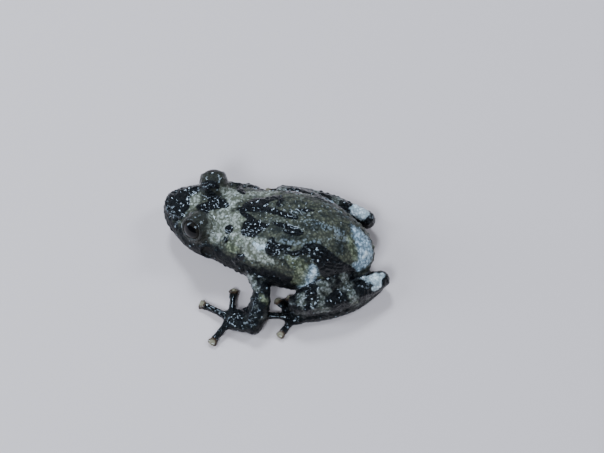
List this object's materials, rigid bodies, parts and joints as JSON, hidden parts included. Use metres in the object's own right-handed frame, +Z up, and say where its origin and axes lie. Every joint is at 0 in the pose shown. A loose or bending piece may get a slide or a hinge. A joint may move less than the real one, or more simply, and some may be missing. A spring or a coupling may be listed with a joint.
{
  "type": "tree frog",
  "caption": "Life-size still figure of a small warty tree frog at rest: flat crouch, bulging eyes, folded hind legs, round discs on fingers and toes.",
  "frame": {"origin": "centre of the bounding box's bottom face, on the plane that the frog rests on", "axes": "+Z up, the frog faces -Y, and its left side is towards +X"},
  "size_m": [0.0264, 0.0328, 0.0098],
  "materials": {
    "mottled_skin": "wet, warty",
    "dark_skin": "wet, warty",
    "eye": "polished"
  },
  "bodies": {
    "root": {"head": "mottled_skin", "lower_jaw": "mottled_skin", "torso": "mottled_skin", "eye_left": "eye", "eye_right": "eye", "upper_arm_left": "mottled_skin", "forearm_left": "dark_skin", "hand_left": "dark_skin", "thigh_left": "mottled_skin", "shank_left": "mottled_skin", "tarsus_left": "dark_skin", "foot_left": "dark_skin", "upper_arm_right": "mottled_skin", "forearm_right": "dark_skin", "hand_right": "dark_skin", "thigh_right": "mottled_skin", "shank_right": "mottled_skin", "tarsus_right": "dark_skin", "foot_right": "dark_skin"}
  },
  "joints": []
}
